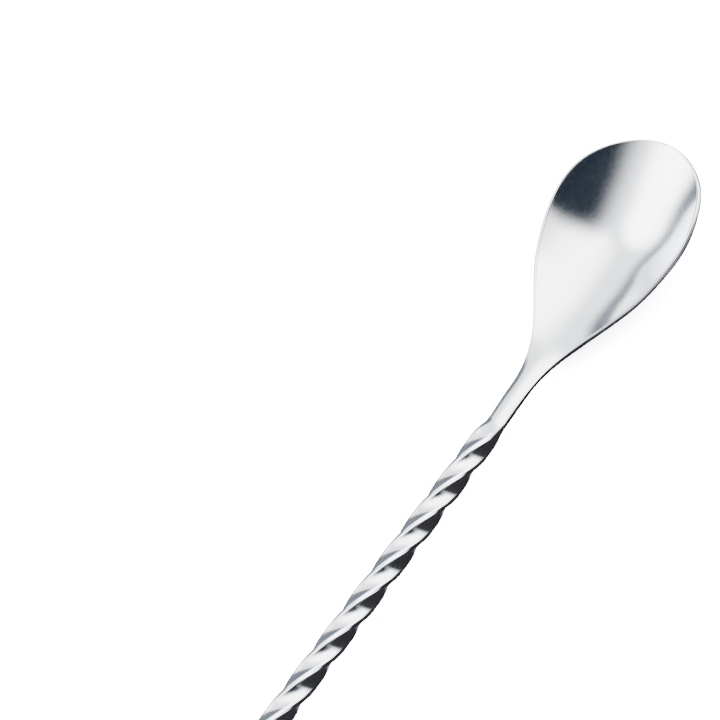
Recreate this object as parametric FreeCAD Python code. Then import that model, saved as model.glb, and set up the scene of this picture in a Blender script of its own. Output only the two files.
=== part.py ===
import FreeCAD, Part
import math
import os

from FreeCAD import Vector

# Bar spoon with a twisted square stem, millimetres.
# It lies with the hollow of the bowl up. +X runs from the tail to the tip of
# the bowl and the stem axis is parallel to X. The origin is under the middle
# of the overall length, on the plane that touches the teardrop weight.

os.makedirs("parts", exist_ok=True)

# Overall
overall_length = 300.0
weight_radius = 5.0
axis_height = weight_radius
tail_x = -overall_length / 2.0
tip_x = overall_length / 2.0

# Bowl and neck, measured from the shoulder where the neck meets the stem
bowl_piece_length = 56.7
shoulder_x = tip_x - bowl_piece_length
bowl_wall = 0.9
rim_round = 0.25
station_step = 5.0
first_station = -5.0
# Square of the half width at equally spaced stations along the bowl piece
half_width_squared = [2.7, 2.5, 3.0, 3.0, 8.0, 23.7, 60.3, 111.5, 143.5,
                      170.0, 155.5, 112.7, 23.7, -65.4, -154.4]
# Height of the rim above the stem axis at the same stations
rim_height = [0.25, 0.3, 0.85, 0.75, 0.95, 1.8, 3.1, 4.95, 6.75,
              8.35, 10.6, 11.4, 11.6, 11.6, 11.6]
# Cross curvature of the upper face: negative is crowned, positive is hollow
hollow = [-0.2, -0.2, -0.2, -0.18, 0.0, 0.032, 0.034, 0.034, 0.035,
          0.036, 0.036, 0.034, 0.033, 0.033, 0.033]
# Height of the flat underside of the neck above the stem axis
neck_floor = [-0.95, -0.95, -0.35, -0.1, -0.1]
neck_end = 11.5
bowl_start = 24.0

# Tang of the bowl piece, inside the slot of the stem
tang_length = 5.0
tang_width = 1.8
tang_thickness = 0.7
tang_centre = -0.075
braze_gap = 0.1

# Stem
bar_side = 3.65
bar_corner = 0.55
bar_face_sag = 0.09
ridge_spacing = 8.2
twist_pitch = 4.0 * ridge_spacing
twist_end_x = shoulder_x - 4.0
shank_radius = 1.8
weight_length = 24.0
shank_x = tail_x + weight_length
twist_start_x = shank_x + 9.0
shank_length = 5.0
spigot_radius = 1.2
spigot_length = 8.0

# Teardrop weight
weight_mouth_radius = 2.3
flat_end_radius = 2.5


def along(values, distance):
    """Smooth value at a distance along equally spaced stations."""
    place = (distance - first_station) / station_step
    index = math.floor(place)
    f = place - index
    weights = [(1 - f) ** 3, 3 * f ** 3 - 6 * f ** 2 + 4,
               -3 * f ** 3 + 3 * f ** 2 + 3 * f + 1, f ** 3]
    total = 0.0
    for k in range(4):
        station = min(max(index - 1 + k, 0), len(values) - 1)
        total += weights[k] * values[station] / 6.0
    return total


def ease(distance, start, end):
    """Smooth step from 0 at start to 1 at end."""
    f = min(max((distance - start) / (end - start), 0.0), 1.0)
    return f * f * f * (10 - 15 * f + 6 * f * f)


def top_height(u, y):
    """Upper face of the neck and bowl above the stem axis."""
    room = along(half_width_squared, u) - y * y
    return along(rim_height, u) - along(hollow, u) * room


def top_point(u, y):
    return Vector(shoulder_x + u, y, axis_height + top_height(u, y))


def under_point(u, y):
    """Point of the underside that lies across the wall from the upper face."""
    step = 0.01
    slope_u = (top_height(u + step, y) - top_height(u - step, y)) / (2 * step)
    slope_y = (top_height(u, y + step) - top_height(u, y - step)) / (2 * step)
    across = Vector(slope_u, slope_y, -1.0)
    across.normalize()
    pressed = top_point(u, y) + across * bowl_wall
    flat = Vector(shoulder_x + u, y, axis_height + along(neck_floor, u))
    share = ease(u, neck_end - 4.0, bowl_start)
    return flat * (1.0 - share) + pressed * share


def surface_through(grid):
    surface = Part.BSplineSurface()
    surface.interpolate(grid)
    return surface.toShape()


def curve_through(points):
    curve = Part.BSplineCurve()
    curve.interpolate(points)
    return curve.toShape()


def blank_half_width(u):
    """Half width of the sheet before the outline is trimmed."""
    return 2.0 + 13.5 * ease(u, 7.0, 34.0)


def pressed_blank():
    """Solid sheet between the upper face and the underside."""
    rows = 40
    columns = 17
    start = -2.0
    end = bowl_piece_length + 2.5
    top = []
    under = []
    for i in range(rows):
        u = start + (end - start) * i / (rows - 1)
        wide = blank_half_width(u)
        ys = [wide * (2.0 * j / (columns - 1) - 1.0) for j in range(columns)]
        top.append([top_point(u, y) for y in ys])
        under.append([under_point(u, y) for y in ys])
    upper = surface_through(top)
    lower = surface_through(under)
    faces = [upper, lower]
    for above, below in zip(upper.Edges, lower.Edges):
        faces.append(Part.makeRuledSurface(above, below))
    shell = Part.makeShell(faces)
    shell.sewShape()
    solid = Part.makeSolid(shell)
    if solid.Volume < 0.0:
        solid.reverse()
    return solid


def rim_places():
    """Places along the rim from one side of the neck round the tip."""
    side = []
    steps = 34
    near_tip = bowl_piece_length - 5.5
    for i in range(steps):
        u = -3.0 + (near_tip + 3.0) * i / (steps - 1)
        side.append((u, math.sqrt(along(half_width_squared, u))))
    last = side[-1][1]
    nose = []
    for share in [0.75, 0.5, 0.25]:
        y = last * share
        low = near_tip
        high = bowl_piece_length + 2.0
        for _ in range(40):
            middle = (low + high) / 2.0
            if along(half_width_squared, middle) > y * y:
                low = middle
            else:
                high = middle
        nose.append((low, y))
    low = near_tip
    high = bowl_piece_length + 2.0
    for _ in range(40):
        middle = (low + high) / 2.0
        if along(half_width_squared, middle) > 0.0:
            low = middle
        else:
            high = middle
    half = side + nose
    return half + [(low, 0.0)] + [(u, -y) for u, y in reversed(half)]


def rim_cutter():
    """Surface that crosses the sheet squarely all round the rim."""
    reach = 1.2
    above = []
    below = []
    for u, y in rim_places():
        top = top_point(u, y)
        under = under_point(u, y)
        across = under - top
        across.normalize()
        above.append(top - across * reach)
        below.append(under + across * reach)
    return Part.makeRuledSurface(curve_through(above), curve_through(below))


def trimmed_sheet():
    """The part of the sheet inside the rim."""
    pieces, _ = pressed_blank().generalFuse([rim_cutter()])
    inside = top_point(36.0, 0.0) - Vector(0.0, 0.0, bowl_wall / 2.0)
    for solid in pieces.Solids:
        if solid.isInside(inside, 1e-4, False):
            return solid
    raise RuntimeError("the rim cut left no bowl")


def tang_box(extra, length):
    """Tang of the bowl piece, or its slot when extra is the brazing gap."""
    wide = tang_width + 2.0 * extra
    thick = tang_thickness + 2.0 * extra
    corner = Vector(shoulder_x - length, -wide / 2.0,
                    axis_height + tang_centre - thick / 2.0)
    return Part.makeBox(length, wide, thick, corner)


def bowl():
    """Pressed bowl, neck and tang in one piece, with the rim edges eased."""
    keep = Part.makeBox(bowl_piece_length + 10.0, 60.0, 60.0,
                        Vector(shoulder_x + braze_gap, -30.0, -30.0))
    body = trimmed_sheet().common(keep).Solids[0]
    long_edges = [edge for edge in body.Edges if edge.Length > 80.0]
    body = body.makeFillet(rim_round, long_edges)
    tang = tang_box(0.0, tang_length)
    tang.translate(Vector(1.0, 0.0, 0.0))
    return body.fuse(tang).removeSplitter()


def bar_profile(x, turn):
    """Square with hollow faces and rounded corners, across the stem axis."""
    half = bar_side / 2.0
    flat = half - bar_corner
    edges = []
    for k in range(4):
        angle = turn - 90.0 * k
        start = on_section(x, angle, half, -flat)
        middle = on_section(x, angle, half - bar_face_sag, 0.0)
        end = on_section(x, angle, half, flat)
        crown = half - 0.46 * bar_corner
        tip = on_section(x, angle, crown, crown)
        following = on_section(x, angle - 90.0, half, -flat)
        edges.append(Part.Arc(start, middle, end).toShape())
        edges.append(Part.Arc(end, tip, following).toShape())
    return Part.Wire(edges)


def on_section(x, angle, out, side):
    """Point on a section, out along the face normal and side along the face."""
    c = math.cos(math.radians(angle))
    s = math.sin(math.radians(angle))
    return Vector(x, side * c - out * s, axis_height + out * c + side * s)


def twisted_bar():
    """Square bar twisted right handed, square to the bowl at its end."""
    length = twist_end_x - twist_start_x
    start_turn = -360.0 * length / twist_pitch
    spine = Part.makeLine(Vector(twist_start_x, 0.0, axis_height),
                          Vector(twist_end_x, 0.0, axis_height))
    helix = Part.makeHelix(twist_pitch, length, 10.0)
    helix.rotate(Vector(), Vector(0, 1, 0), 90.0)
    helix.translate(Vector(twist_start_x, 0.0, axis_height))
    sweep = Part.BRepOffsetAPI.MakePipeShell(Part.Wire(spine))
    sweep.setAuxiliarySpine(Part.Wire(helix), True, 0)
    sweep.add(bar_profile(twist_start_x, start_turn))
    sweep.build()
    sweep.makeSolid()
    return sweep.shape()


def shoulder_profile(x):
    """Flattened end of the bar, matched to the root of the neck."""
    half = math.sqrt(along(half_width_squared, 0.0))
    crown = 0.55
    crown_top = axis_height + top_height(0.0, crown)
    side_top = axis_height + top_height(0.0, half)
    floor = axis_height + along(neck_floor, 0.0)
    cut = 0.25
    points = [(half - cut, floor), (half, floor + cut), (half, side_top),
              (crown, crown_top), (-crown, crown_top), (-half, side_top),
              (-half, floor + cut), (-half + cut, floor)]
    corners = [Vector(x, y, z) for y, z in points]
    return Part.makePolygon(corners + [corners[0]])


def square_profile(x):
    """Square bar with its corners cut, in the order of the shoulder profile."""
    half = bar_side / 2.0
    flat = half - bar_corner
    points = [(flat, -half), (half, -flat), (half, flat), (flat, half),
              (-flat, half), (-half, flat), (-half, -flat), (-flat, -half)]
    corners = [Vector(x, y, axis_height + z) for y, z in points]
    return Part.makePolygon(corners + [corners[0]])


def cylinder_along(x, length, radius):
    return Part.makeCylinder(radius, length, Vector(x, 0.0, axis_height), Vector(1, 0, 0))


def cone_along(x, length, start_radius, end_radius):
    return Part.makeCone(start_radius, end_radius, length,
                         Vector(x, 0.0, axis_height), Vector(1, 0, 0))


def twisted_stem():
    """Twisted bar with a slotted flat end and a turned tail with a spigot."""
    flattened = Part.makeLoft([square_profile(twist_end_x), shoulder_profile(shoulder_x)], True, True)
    turned_length = twist_start_x - shank_x
    shank = cylinder_along(shank_x, shank_length, shank_radius)
    flare_length = turned_length - shank_length
    flare = cone_along(shank_x + shank_length, flare_length, shank_radius, 2.3)
    turn = -360.0 * (twist_end_x - twist_start_x) / twist_pitch
    square = Part.Face(bar_profile(twist_start_x - flare_length, turn))
    flare = flare.common(square.extrude(Vector(flare_length, 0, 0)))
    spigot = cylinder_along(shank_x - spigot_length, spigot_length, spigot_radius)
    stem = twisted_bar().fuse([flattened, flare, shank, spigot])
    stem = stem.removeSplitter()
    slot = tang_box(braze_gap, tang_length + braze_gap)
    return stem.cut(slot).Solids[0]


def neck_braze():
    """Braze round the tang and across the shoulder seam."""
    sleeve = tang_box(braze_gap, tang_length + braze_gap)
    seam = Part.Face(shoulder_profile(shoulder_x)).extrude(Vector(braze_gap, 0, 0))
    filler = sleeve.fuse(seam)
    tang = tang_box(0.0, tang_length)
    tang.translate(Vector(0.5, 0.0, 0.0))
    long_tang = tang.fuse(tang_box(0.0, tang_length))
    return filler.cut(long_tang).removeSplitter().Solids[0]


def tail_braze():
    """Braze round the spigot with a small fillet ring at the mouth."""
    start = shank_x - spigot_length - braze_gap
    sleeve = cylinder_along(start, spigot_length + braze_gap, spigot_radius + braze_gap)
    ring = cone_along(shank_x, 0.3, shank_radius + 0.3, shank_radius)
    spigot = cylinder_along(shank_x - spigot_length, spigot_length, spigot_radius)
    shank = cylinder_along(shank_x, shank_length, shank_radius)
    return sleeve.fuse(ring).cut(spigot.fuse(shank)).Solids[0]


def teardrop_weight():
    """Solid teardrop with a flat ground end and a blind bore for the spigot."""
    outline = [(tail_x, flat_end_radius), (tail_x + 0.9, 3.6), (tail_x + 3.0, 4.6),
               (tail_x + 6.5, weight_radius), (tail_x + 12.0, 4.25),
               (tail_x + 18.0, 2.95), (shank_x, weight_mouth_radius)]
    curve = Part.BSplineCurve()
    curve.interpolate([Vector(x, 0.0, axis_height + r) for x, r in outline])
    side = curve.toShape()
    first = side.Vertexes[0].Point
    last = side.Vertexes[-1].Point
    foot = Vector(first.x, 0.0, axis_height)
    head = Vector(last.x, 0.0, axis_height)
    wire = Part.Wire([Part.makeLine(foot, first), side,
                      Part.makeLine(last, head), Part.makeLine(head, foot)])
    body = Part.Face(wire).revolve(foot, Vector(1, 0, 0), 360.0)
    if body.Volume < 0.0:
        body.reverse()
    bore_depth = spigot_length + braze_gap
    bore = cylinder_along(shank_x - bore_depth, bore_depth + 1.0, spigot_radius + braze_gap)
    return body.cut(bore).Solids[0]


bowl().exportStep("parts/bowl.step")
neck_braze().exportStep("parts/neck_braze.step")
twisted_stem().exportStep("parts/twisted_stem.step")
tail_braze().exportStep("parts/tail_braze.step")
teardrop_weight().exportStep("parts/teardrop_weight.step")
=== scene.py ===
import math

import bpy
from mathutils import Matrix, Vector


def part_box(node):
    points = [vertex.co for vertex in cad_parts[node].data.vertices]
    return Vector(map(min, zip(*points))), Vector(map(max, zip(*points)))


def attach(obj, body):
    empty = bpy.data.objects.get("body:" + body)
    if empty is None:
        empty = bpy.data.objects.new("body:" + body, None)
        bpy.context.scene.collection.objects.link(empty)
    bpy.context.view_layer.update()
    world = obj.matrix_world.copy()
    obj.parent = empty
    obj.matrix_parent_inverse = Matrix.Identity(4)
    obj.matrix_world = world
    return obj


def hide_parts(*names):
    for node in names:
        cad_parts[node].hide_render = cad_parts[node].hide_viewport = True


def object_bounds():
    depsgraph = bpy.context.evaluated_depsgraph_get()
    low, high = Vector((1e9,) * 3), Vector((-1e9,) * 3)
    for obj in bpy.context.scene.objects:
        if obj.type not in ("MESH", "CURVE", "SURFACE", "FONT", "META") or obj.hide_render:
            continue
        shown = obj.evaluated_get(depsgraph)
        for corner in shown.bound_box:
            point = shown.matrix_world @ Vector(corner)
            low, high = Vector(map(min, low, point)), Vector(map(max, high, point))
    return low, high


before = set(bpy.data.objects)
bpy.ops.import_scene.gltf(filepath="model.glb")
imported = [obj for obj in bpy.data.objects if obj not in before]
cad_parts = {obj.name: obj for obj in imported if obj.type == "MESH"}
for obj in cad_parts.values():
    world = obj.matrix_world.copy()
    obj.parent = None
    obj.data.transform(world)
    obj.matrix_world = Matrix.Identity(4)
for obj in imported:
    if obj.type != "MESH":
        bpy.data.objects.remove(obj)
cad_box = [list(corner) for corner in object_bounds()]

MM = 0.001

# The spoon lies with its hollow up, +X from the tail to the tip of the bowl.
tail_x = cad_box[0][0] / MM
tip_x = cad_box[1][0] / MM
weight_low, weight_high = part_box("teardrop_weight")
axis_height = (weight_low[2] + weight_high[2]) / 2.0 / MM
weight_radius = 5.0

# Bowl piece, in millimetres from the shoulder where the neck meets the stem
bowl_piece_length = 56.7
shoulder_x = tip_x - bowl_piece_length
wall = 0.9
station_step = 5.0
first_station = -5.0
half_width_squared = [2.7, 2.5, 3.0, 3.0, 8.0, 23.7, 60.3, 111.5, 143.5,
                      170.0, 155.5, 112.7, 23.7, -65.4, -154.4]
rim_height = [0.25, 0.3, 0.85, 0.75, 0.95, 1.8, 3.1, 4.95, 6.75,
              8.35, 10.6, 11.4, 11.6, 11.6, 11.6]
hollow = [-0.2, -0.2, -0.2, -0.18, 0.0, 0.032, 0.034, 0.034, 0.035,
          0.036, 0.036, 0.034, 0.033, 0.033, 0.033]
neck_floor = [-0.95, -0.95, -0.35, -0.1, -0.1]
neck_end = 11.5
bowl_start = 24.0
rim_round = 0.25
largest_rim_reach = 0.4

# Stem
bar_side = 3.65
bar_corner = 0.55
bar_face_sag = 0.09
twist_pitch = 32.8
twist_end_x = shoulder_x - 4.0
shank_radius = 1.8
weight_length = 24.0
shank_x = tail_x + weight_length
twist_start_x = shank_x + 9.0
shank_length = 5.0
flare_radius = 2.3
shoulder_crown = 0.55
shoulder_cut = 0.25

# Teardrop weight
flat_end_radius = 2.5
weight_mouth_radius = 2.3

# Camera, as angles round the neck of the spoon
camera_pitch = 27.0
camera_side = 28.0
camera_roll = 36.6
camera_distance = 450.0
neck_offset_right = 28.8
neck_offset_up = -1.77
picture_width = 120.0
neck_height = 0.57
sensor_width = 36.0

# Tint of the satin steel
steel_tint = (0.80, 0.815, 0.83)


def along(values, distance):
    """Smooth value at a distance along equally spaced stations."""
    place = (distance - first_station) / station_step
    index = math.floor(place)
    f = place - index
    weights = [(1 - f) ** 3, 3 * f ** 3 - 6 * f ** 2 + 4,
               -3 * f ** 3 + 3 * f ** 2 + 3 * f + 1, f ** 3]
    total = 0.0
    for k in range(4):
        station = min(max(index - 1 + k, 0), len(values) - 1)
        total += weights[k] * values[station] / 6.0
    return total


def ease(distance, start, end):
    """Smooth step from 0 at start to 1 at end."""
    f = min(max((distance - start) / (end - start), 0.0), 1.0)
    return f * f * f * (10 - 15 * f + 6 * f * f)


def top_height(u, y):
    """Upper face of the neck and bowl above the stem axis."""
    room = along(half_width_squared, u) - y * y
    return along(rim_height, u) - along(hollow, u) * room


def top_point(u, y):
    """Point of the upper face."""
    return Vector((shoulder_x + u, y, axis_height + top_height(u, y)))


def down_through_wall(u, y):
    """Unit vector square to the upper face, pointing into the wall."""
    step = 0.01
    slope_u = (top_height(u + step, y) - top_height(u - step, y)) / (2 * step)
    slope_y = (top_height(u, y + step) - top_height(u, y - step)) / (2 * step)
    return Vector((slope_u, slope_y, -1.0)).normalized()


def under_point(u, y):
    """Point of the underside that lies across the wall from the upper face."""
    pressed = top_point(u, y) + down_through_wall(u, y) * wall
    flat = Vector((shoulder_x + u, y, axis_height + along(neck_floor, u)))
    share = ease(u, neck_end - 4.0, bowl_start)
    return flat * (1.0 - share) + pressed * share


def tip_place():
    """Distance from the shoulder at which the two sides of the rim meet."""
    low = bowl_piece_length - 6.0
    high = bowl_piece_length + 2.0
    for _ in range(50):
        middle = (low + high) / 2.0
        if along(half_width_squared, middle) > 0.0:
            low = middle
        else:
            high = middle
    return low


def mesh_object(name, points, faces, wear=None):
    """Smooth shaded object from points in millimetres, sharp round its flat end caps."""
    mesh = bpy.data.meshes.new(name)
    mesh.from_pydata([Vector(p) * MM for p in points], [], faces)
    mesh.validate()
    cap_edges = set()
    for polygon in mesh.polygons:
        polygon.use_smooth = True
        if len(polygon.vertices) > 4:
            cap_edges.update(polygon.edge_keys)
    for edge in mesh.edges:
        edge.use_edge_sharp = edge.key in cap_edges
    if wear is not None:
        layer = mesh.attributes.new("wear", "FLOAT", "POINT")
        layer.data.foreach_set("value", wear)
    piece = bpy.data.objects.new(name, mesh)
    bpy.context.scene.collection.objects.link(piece)
    return piece


def bowl_mesh():
    """Bowl and neck as one closed skin with a rounded rim."""
    rows = 150
    columns = 40
    corner_steps = 8
    tip = tip_place()
    # Stations lie closer together towards the tip
    stations = []
    for i in range(rows + 1):
        f = i / rows
        stations.append(tip * (0.45 * f + 0.55 * math.sin(f * math.pi / 2.0)))
    points = []
    faces = []
    wear = []

    def add(point, amount):
        points.append(tuple(point))
        wear.append(amount)
        return len(points) - 1

    def rim_corners(u, side):
        """Rounded upper and lower edges of the rim face, and the way out of it."""
        y = side * math.sqrt(max(along(half_width_squared, u), 0.0))
        step = 0.02
        growth = (along(half_width_squared, u + step)
                  - along(half_width_squared, u - step)) / (2 * step)
        out = Vector((-growth, 2.0 * y, 0.0)).normalized()
        top = top_point(u, y)
        under = under_point(u, y)
        down = (under - top).normalized()
        inner_u = u - out.x * step
        inner_y = y - out.y * step
        top_way = (top_point(inner_u, inner_y) - top).normalized()
        under_way = (under_point(inner_u, inner_y) - under).normalized()
        return rounded_corner(top, top_way, down), rounded_corner(under, -down, under_way), out

    def rounded_corner(corner, first_way, second_way):
        """Arc that eases the corner between two faces, from the first to the second."""
        opening = first_way.angle(second_way)
        reach = min(rim_round / math.tan(opening / 2.0), largest_rim_reach)
        radius = reach * math.tan(opening / 2.0)
        middle = (first_way + second_way).normalized()
        centre = corner + middle * math.hypot(reach, radius)
        start = (corner + first_way * reach - centre) / radius
        end = (corner + second_way * reach - centre) / radius
        return [centre + start.slerp(end, k / corner_steps) * radius
                for k in range(corner_steps + 1)]

    def rim_strip(u, side):
        """Vertices round the rim from the upper face to the underside."""
        upper, lower, _ = rim_corners(u, side)
        return [add(p, 1.0) for p in upper[1:] + lower]

    def inset_place(u, side):
        """Place on the sheet where the rounded rim begins."""
        upper, _, out = rim_corners(u, side)
        return upper[0].x - shoulder_x, upper[0].y

    top_rows = []
    under_rows = []
    for u in stations[:-1]:
        inner_u, inner_y = inset_place(u, 1.0)
        top_row = []
        under_row = []
        for j in range(columns + 1):
            across = math.sin((j / columns - 0.5) * math.pi * 0.86) / math.sin(0.43 * math.pi)
            y = inner_y * across
            edge = 0.6 * abs(across) ** 14
            top_row.append(add(top_point(inner_u, y), edge))
            under_row.append(add(under_point(inner_u, y), edge))
        top_rows.append(top_row)
        under_rows.append(under_row)
    end_u, _ = inset_place(tip, 1.0)
    top_tip = add(top_point(end_u, 0.0), 0.6)
    under_tip = add(under_point(end_u, 0.0), 0.6)
    for i in range(rows - 1):
        for j in range(columns):
            a, b = top_rows[i][j], top_rows[i][j + 1]
            c, d = top_rows[i + 1][j + 1], top_rows[i + 1][j]
            faces.append((a, d, c, b))
            a, b = under_rows[i][j], under_rows[i][j + 1]
            c, d = under_rows[i + 1][j + 1], under_rows[i + 1][j]
            faces.append((a, b, c, d))
    for j in range(columns):
        faces.append((top_rows[-1][j], top_tip, top_rows[-1][j + 1]))
        faces.append((under_rows[-1][j], under_rows[-1][j + 1], under_tip))

    left = [[top_rows[i][-1]] + rim_strip(u, 1.0) + [under_rows[i][-1]]
            for i, u in enumerate(stations[:-1])]
    right = [[top_rows[i][0]] + rim_strip(u, -1.0) + [under_rows[i][0]]
             for i, u in enumerate(stations[:-1])]
    nose = [[top_tip] + rim_strip(tip, 1.0) + [under_tip]]
    loop = left + nose + right[::-1]
    for strip, following in zip(loop, loop[1:]):
        for k in range(len(strip) - 1):
            quad = (strip[k], strip[k + 1], following[k + 1], following[k])
            faces.append(tuple(dict.fromkeys(quad)))
    root = top_rows[0] + left[0][1:-1] + under_rows[0][::-1] + right[0][1:-1][::-1]
    faces.append(tuple(root))
    return mesh_object("bowl_shell", points, faces, wear)


def bar_ring(x, turn):
    """Points round the square bar at x, with hollow faces and worn corners."""
    half = bar_side / 2.0
    flat = half - bar_corner
    ring = []
    for k in range(4):
        angle = math.radians(turn - 90.0 * k)
        c = math.cos(angle)
        s = math.sin(angle)
        for j in range(9):
            side = flat * (j / 4.0 - 1.0)
            out = half - bar_face_sag * (1.0 - (side / flat) ** 2)
            amount = 0.5 * abs(j / 4.0 - 1.0) ** 6
            ring.append((out, side, c, s, amount))
        for j in range(1, 4):
            f = j / 4.0
            bulge = 0.04 * bar_corner * math.sin(f * math.pi)
            out = half - bar_corner * f + bulge
            side = flat + bar_corner * f + bulge
            ring.append((out, side, c, s, 1.0))
    return [((x, side * c - out * s, axis_height + out * c + side * s), amount)
            for out, side, c, s, amount in ring]


def shoulder_ring():
    """Flattened end of the bar as y and z, in the same order as the bar ring."""
    half = math.sqrt(along(half_width_squared, 0.0))
    side_top = top_height(0.0, half)
    crown_top = top_height(0.0, shoulder_crown)
    floor = along(neck_floor, 0.0)
    corners = [(-shoulder_crown, crown_top), (shoulder_crown, crown_top),
               (half, side_top), (half, floor + shoulder_cut),
               (half - shoulder_cut, floor), (-half + shoulder_cut, floor),
               (-half, floor + shoulder_cut), (-half, side_top)]
    ring = []
    for k in range(4):
        start, end = corners[2 * k], corners[2 * k + 1]
        following = corners[(2 * k + 2) % 8]
        for j in range(9):
            ring.append((start, end, j / 8.0, k == 0))
        for j in range(1, 4):
            ring.append((end, following, j / 4.0, k in (0, 3)))
    result = []
    for a, b, f, on_crown in ring:
        y = a[0] + (b[0] - a[0]) * f
        z = a[1] + (b[1] - a[1]) * f
        if on_crown:
            z = top_height(0.0, y)
        result.append((y, axis_height + z))
    return result


def stem_mesh():
    """Twisted square bar with a flattened end and a turned shank."""
    rings = []
    length = twist_end_x - twist_start_x
    turn_at_start = -360.0 * length / twist_pitch
    flare_length = twist_start_x - shank_x - shank_length
    for x, radius in [(shank_x + 0.02, shank_radius), (shank_x + 0.3, shank_radius),
                      (shank_x + 2.5, shank_radius), (shank_x + shank_length - 0.3, shank_radius)]:
        rings.append(turned_ring(x, radius, turn_at_start))
    for i in range(13):
        x = shank_x + shank_length + flare_length * i / 12.0
        limit = shank_radius + (flare_radius - shank_radius) * i / 12.0
        rings.append(clipped_ring(x, limit, turn_at_start))
    steps = 560
    for i in range(1, steps + 1):
        x = twist_start_x + length * i / steps
        rings.append(bar_ring(x, turn_at_start * (1.0 - i / steps)))
    last = bar_ring(twist_end_x, 0.0)
    goal = shoulder_ring()
    for i in range(1, 13):
        f = i / 12.0
        blend = f * f * (3.0 - 2.0 * f)
        x = twist_end_x + (shoulder_x - twist_end_x) * f
        ring = []
        for ((_, y, z), amount), (goal_y, goal_z) in zip(last, goal):
            ring.append(((x, y + (goal_y - y) * blend, z + (goal_z - z) * blend), amount))
        rings.append(ring)
    points = []
    wear = []
    for ring in rings:
        for point, amount in ring:
            points.append(point)
            wear.append(amount)
    count = len(rings[0])
    faces = []
    for i in range(len(rings) - 1):
        for j in range(count):
            a = i * count + j
            b = i * count + (j + 1) % count
            faces.append((a, b, b + count, a + count))
    faces.append(tuple(range(count))[::-1])
    top = (len(rings) - 1) * count
    faces.append(tuple(range(top, top + count)))
    return mesh_object("stem_bar", points, faces, wear)


def turned_ring(x, radius, turn):
    """Round section whose points line up with the bar ring at that turn."""
    ring = []
    for (_, y, z), _ in bar_ring(x, turn):
        reach = math.hypot(y, z - axis_height)
        ring.append(((x, y / reach * radius, axis_height + (z - axis_height) / reach * radius), 0.2))
    return ring


def clipped_ring(x, limit, turn):
    """Square section turned down to a round one of the given radius."""
    ring = []
    for (_, y, z), amount in bar_ring(x, turn):
        reach = math.hypot(y, z - axis_height)
        keep = min(1.0, limit / reach)
        ring.append(((x, y * keep, axis_height + (z - axis_height) * keep), amount))
    return ring


def weight_mesh():
    """Turned teardrop with a small flat end and a rounded mouth."""
    outline = [(0.0, flat_end_radius), (0.9, 3.6), (3.0, 4.6), (6.5, weight_radius),
               (12.0, 4.25), (18.0, 2.95), (weight_length, weight_mouth_radius)]
    profile = smooth_profile(outline, 90)
    start = [(0.0, 0.0), (0.0, 1.2), (0.0, flat_end_radius - 0.35), (0.02, flat_end_radius - 0.12)]
    end = [(weight_length, weight_mouth_radius - 0.15), (weight_length, 1.5),
           (weight_length, 1.0)]
    profile[0] = (0.12, flat_end_radius + 0.1)
    profile[-1] = (weight_length - 0.15, weight_mouth_radius)
    stations = start + profile + end
    count = 72
    points = []
    wear = []
    faces = []
    for offset, radius in stations:
        ring_wear = 1.0 if offset < 0.3 else 0.15
        for j in range(count):
            angle = 2.0 * math.pi * j / count
            points.append((tail_x + offset, radius * math.sin(angle),
                           axis_height + radius * math.cos(angle)))
            wear.append(ring_wear)
    for i in range(len(stations) - 1):
        for j in range(count):
            a = i * count + j
            b = i * count + (j + 1) % count
            faces.append((a, b, b + count, a + count))
    last = (len(stations) - 1) * count
    faces.append(tuple(range(last, last + count)))
    return mesh_object("weight_body", points, faces, wear)


def smooth_profile(outline, steps):
    """Points on a smooth curve through the outline."""
    result = []
    count = len(outline) - 1
    for i in range(steps + 1):
        place = count * i / steps
        k = min(int(place), count - 1)
        f = place - k
        p0 = outline[max(k - 1, 0)]
        p1 = outline[k]
        p2 = outline[k + 1]
        p3 = outline[min(k + 2, count)]
        point = []
        for axis in range(2):
            a = -0.5 * p0[axis] + 1.5 * p1[axis] - 1.5 * p2[axis] + 0.5 * p3[axis]
            b = p0[axis] - 2.5 * p1[axis] + 2.0 * p2[axis] - 0.5 * p3[axis]
            c = 0.5 * (p2[axis] - p0[axis])
            point.append(((a * f + b) * f + c) * f + p1[axis])
        result.append(tuple(point))
    return result


def node(tree, kind, **inputs):
    """New shader node with the given settings."""
    made = tree.nodes.new(kind)
    for key, value in inputs.items():
        setattr(made, key, value)
    return made


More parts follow.
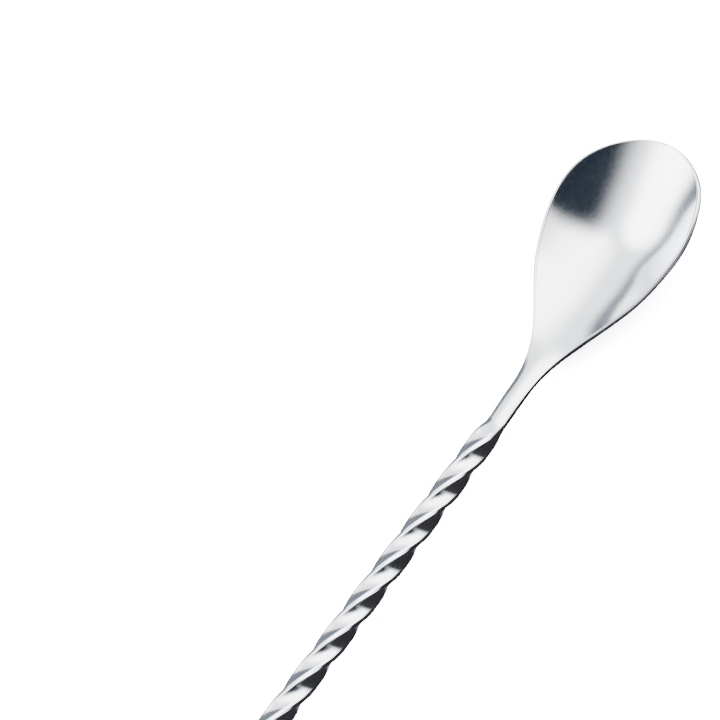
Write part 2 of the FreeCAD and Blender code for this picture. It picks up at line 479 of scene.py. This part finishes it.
def steel(name, tint, rough, grain_along, grain_across):
    """Satin polished stainless steel with fine polishing lines and worn edges."""
    material = bpy.data.materials.new(name)
    material.use_nodes = True
    tree = material.node_tree
    shader = tree.nodes["Principled BSDF"]
    shader.inputs["Metallic"].default_value = 1.0
    place = node(tree, "ShaderNodeTexCoord")
    stretch = node(tree, "ShaderNodeMapping")
    stretch.inputs["Scale"].default_value = (grain_along, grain_across, grain_across)
    tree.links.new(place.outputs["Object"], stretch.inputs["Vector"])
    lines = node(tree, "ShaderNodeTexNoise")
    lines.inputs["Scale"].default_value = 1.0
    lines.inputs["Detail"].default_value = 6.0
    lines.inputs["Roughness"].default_value = 0.6
    tree.links.new(stretch.outputs["Vector"], lines.inputs["Vector"])
    cloud = node(tree, "ShaderNodeTexNoise")
    cloud.inputs["Scale"].default_value = 110.0
    cloud.inputs["Detail"].default_value = 3.0
    tree.links.new(place.outputs["Object"], cloud.inputs["Vector"])
    wear = node(tree, "ShaderNodeAttribute", attribute_name="wear")

    shade = node(tree, "ShaderNodeMix", data_type="RGBA")
    shade.inputs["A"].default_value = (tint[0] * 0.94, tint[1] * 0.945, tint[2] * 0.955, 1.0)
    shade.inputs["B"].default_value = (tint[0], tint[1], tint[2], 1.0)
    tree.links.new(cloud.outputs["Fac"], shade.inputs["Factor"])
    tree.links.new(shade.outputs["Result"], shader.inputs["Base Color"])

    spread = node(tree, "ShaderNodeMapRange")
    spread.inputs["From Min"].default_value = 0.3
    spread.inputs["From Max"].default_value = 0.7
    spread.inputs["To Min"].default_value = rough * 0.85
    spread.inputs["To Max"].default_value = rough * 1.15
    tree.links.new(lines.outputs["Fac"], spread.inputs["Value"])
    worn = node(tree, "ShaderNodeMapRange")
    worn.inputs["To Min"].default_value = 1.0
    worn.inputs["To Max"].default_value = 0.72
    tree.links.new(wear.outputs["Fac"], worn.inputs["Value"])
    total = node(tree, "ShaderNodeMath", operation="MULTIPLY")
    tree.links.new(spread.outputs["Result"], total.inputs[0])
    tree.links.new(worn.outputs["Result"], total.inputs[1])
    tree.links.new(total.outputs["Value"], shader.inputs["Roughness"])

    bump = node(tree, "ShaderNodeBump")
    bump.inputs["Strength"].default_value = 0.06
    bump.inputs["Distance"].default_value = 0.00002
    tree.links.new(lines.outputs["Fac"], bump.inputs["Height"])
    tree.links.new(bump.outputs["Normal"], shader.inputs["Normal"])
    return material


def braze_metal():
    """Silver solder, a little duller and warmer than the steel."""
    material = bpy.data.materials.new("silver_braze")
    material.use_nodes = True
    tree = material.node_tree
    shader = tree.nodes["Principled BSDF"]
    shader.inputs["Metallic"].default_value = 1.0
    place = node(tree, "ShaderNodeTexCoord")
    grain = node(tree, "ShaderNodeTexNoise")
    grain.inputs["Scale"].default_value = 2500.0
    grain.inputs["Detail"].default_value = 4.0
    tree.links.new(place.outputs["Object"], grain.inputs["Vector"])
    shade = node(tree, "ShaderNodeMix", data_type="RGBA")
    shade.inputs["A"].default_value = (0.66, 0.65, 0.62, 1.0)
    shade.inputs["B"].default_value = (0.78, 0.77, 0.74, 1.0)
    tree.links.new(grain.outputs["Fac"], shade.inputs["Factor"])
    tree.links.new(shade.outputs["Result"], shader.inputs["Base Color"])
    spread = node(tree, "ShaderNodeMapRange")
    spread.inputs["To Min"].default_value = 0.2
    spread.inputs["To Max"].default_value = 0.34
    tree.links.new(grain.outputs["Fac"], spread.inputs["Value"])
    tree.links.new(spread.outputs["Result"], shader.inputs["Roughness"])
    bump = node(tree, "ShaderNodeBump")
    bump.inputs["Strength"].default_value = 0.2
    bump.inputs["Distance"].default_value = 0.00003
    tree.links.new(grain.outputs["Fac"], bump.inputs["Height"])
    tree.links.new(bump.outputs["Normal"], shader.inputs["Normal"])
    return material


def dress(piece, material):
    """Give a piece one material."""
    piece.data.materials.clear()
    piece.data.materials.append(material)


def add_camera():
    """Camera over the right of the spoon with the tail nearer than the bowl."""
    pitch = math.radians(camera_pitch)
    side = math.radians(camera_side)
    roll = math.radians(camera_roll)
    toward = Vector((-math.sin(pitch), -math.cos(pitch) * math.sin(side),
                     math.cos(pitch) * math.cos(side)))
    stem_way = Vector((1.0, 0.0, 0.0))
    stem_way = (stem_way - toward * stem_way.dot(toward)).normalized()
    left_way = toward.cross(stem_way)
    right = stem_way * math.sin(roll) - left_way * math.cos(roll)
    up = stem_way * math.cos(roll) + left_way * math.sin(roll)
    neck = Vector((shoulder_x + neck_end, 0.0, axis_height + neck_height))
    place = neck + toward * camera_distance
    target = neck - right * neck_offset_right - up * neck_offset_up
    ahead = (target - place).normalized()
    across = ahead.cross(up).normalized()
    upward = across.cross(ahead)
    turn = Matrix((across, upward, -ahead)).transposed().to_4x4()
    data = bpy.data.cameras.new("camera")
    data.sensor_width = sensor_width
    data.lens = sensor_width * (target - place).length / picture_width
    data.clip_start = 0.01
    data.clip_end = 20.0
    camera = bpy.data.objects.new("camera", data)
    camera.matrix_world = Matrix.Translation(place * MM) @ turn
    bpy.context.scene.collection.objects.link(camera)
    bpy.context.scene.camera = camera


def add_floor():
    """Plain pale sheet the spoon lies on."""
    size = 3.0
    mesh = bpy.data.meshes.new("floor")
    mesh.from_pydata([(-size, -size, 0.0), (size, -size, 0.0), (size, size, 0.0),
                      (-size, size, 0.0)], [], [(0, 1, 2, 3)])
    floor = bpy.data.objects.new("floor", mesh)
    bpy.context.scene.collection.objects.link(floor)
    material = bpy.data.materials.new("pale_floor")
    material.use_nodes = True
    shader = material.node_tree.nodes["Principled BSDF"]
    shader.inputs["Base Color"].default_value = (0.93, 0.93, 0.93, 1.0)
    shader.inputs["Roughness"].default_value = 0.9
    shader.inputs["Specular IOR Level"].default_value = 0.0
    dress(floor, material)
    floor.visible_glossy = False


def direction(azimuth, elevation):
    """Unit vector towards an azimuth and elevation in degrees."""
    a = math.radians(azimuth)
    e = math.radians(elevation)
    return (math.cos(a) * math.cos(e), math.sin(a) * math.cos(e), math.sin(e))


def add_world():
    """Pale studio tent with two brighter areas, dark openings beside it and a dim floor side."""
    world = bpy.data.worlds.new("studio")
    bpy.context.scene.world = world
    world.use_nodes = True
    tree = world.node_tree
    background = tree.nodes["Background"]
    place = node(tree, "ShaderNodeTexCoord")

    def lobe(azimuth, elevation, inner, outer):
        """1 inside the inner angle round a direction, 0 outside the outer one."""
        dot = node(tree, "ShaderNodeVectorMath", operation="DOT_PRODUCT")
        dot.inputs[1].default_value = direction(azimuth, elevation)
        tree.links.new(place.outputs["Generated"], dot.inputs[0])
        fade = node(tree, "ShaderNodeMapRange", interpolation_type="SMOOTHSTEP")
        fade.inputs["From Min"].default_value = math.cos(math.radians(outer))
        fade.inputs["From Max"].default_value = math.cos(math.radians(inner))
        tree.links.new(dot.outputs["Value"], fade.inputs["Value"])
        return fade.outputs["Result"]

    def over(below, colour, amount):
        """Colour laid over what is below, by the given amount."""
        mix = node(tree, "ShaderNodeMix", data_type="RGBA")
        if isinstance(below, tuple):
            mix.inputs["A"].default_value = (*below, 1.0)
        else:
            tree.links.new(below, mix.inputs["A"])
        mix.inputs["B"].default_value = (*colour, 1.0)
        tree.links.new(amount, mix.inputs["Factor"])
        return mix.outputs["Result"]

    tent = (0.42, 0.43, 0.445)
    sky = over(tent, (1.15, 1.15, 1.15), lobe(-36.0, 60.0, 0.0, 50.0))
    sky = over(sky, (1.4, 1.4, 1.4), lobe(124.0, 36.0, 0.0, 38.0))
    sky = over(sky, (0.003, 0.0048, 0.008), lobe(-93.0, 39.0, 3.0, 29.0))
    sky = over(sky, (0.0018, 0.0032, 0.006), lobe(-122.0, 51.0, 8.0, 42.0))
    sky = over(sky, (0.055, 0.06, 0.067), lobe(0.0, -90.0, 80.0, 96.0))
    sky = over(sky, (0.04, 0.048, 0.058), lobe(62.0, -18.0, 38.0, 54.0))
    sky = over(sky, (0.006, 0.006, 0.0065), lobe(-80.0, -35.0, 48.0, 68.0))
    tree.links.new(sky, background.inputs["Color"])
    background.inputs["Strength"].default_value = 7.0


def add_lamp(name, azimuth, elevation, distance, size, power):
    """Soft square lamp for the floor, which the steel does not mirror."""
    data = bpy.data.lights.new(name, "AREA")
    data.shape = "SQUARE"
    data.size = size
    data.energy = power
    lamp = bpy.data.objects.new(name, data)
    way = Vector(direction(azimuth, elevation))
    lamp.location = way * distance
    lamp.rotation_euler = way.to_track_quat("Z", "Y").to_euler()
    lamp.visible_glossy = False
    lamp.visible_camera = False
    bpy.context.scene.collection.objects.link(lamp)


bowl = bowl_mesh()
stem = stem_mesh()
weight = weight_mesh()
dress(bowl, steel("bowl_steel_satin", steel_tint, 0.15, 900.0, 2600.0))
dress(stem, steel("stem_steel_satin", steel_tint, 0.15, 900.0, 2600.0))
dress(weight, steel("weight_steel_satin", steel_tint, 0.16, 2600.0, 400.0))
braze = braze_metal()
for name in ("neck_braze", "tail_braze"):
    dress(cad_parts[name], braze)

for piece, cad_node, slot in [(bowl, "bowl", "bowl_steel"),
                              (stem, "twisted_stem", "stem_steel"),
                              (weight, "teardrop_weight", "weight_steel")]:
    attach(piece, "root")
    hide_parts(cad_node)

add_camera()
add_floor()
add_world()
add_lamp("floor_lamp", 0.0, 90.0, 1.2, 3.0, 1800.0)
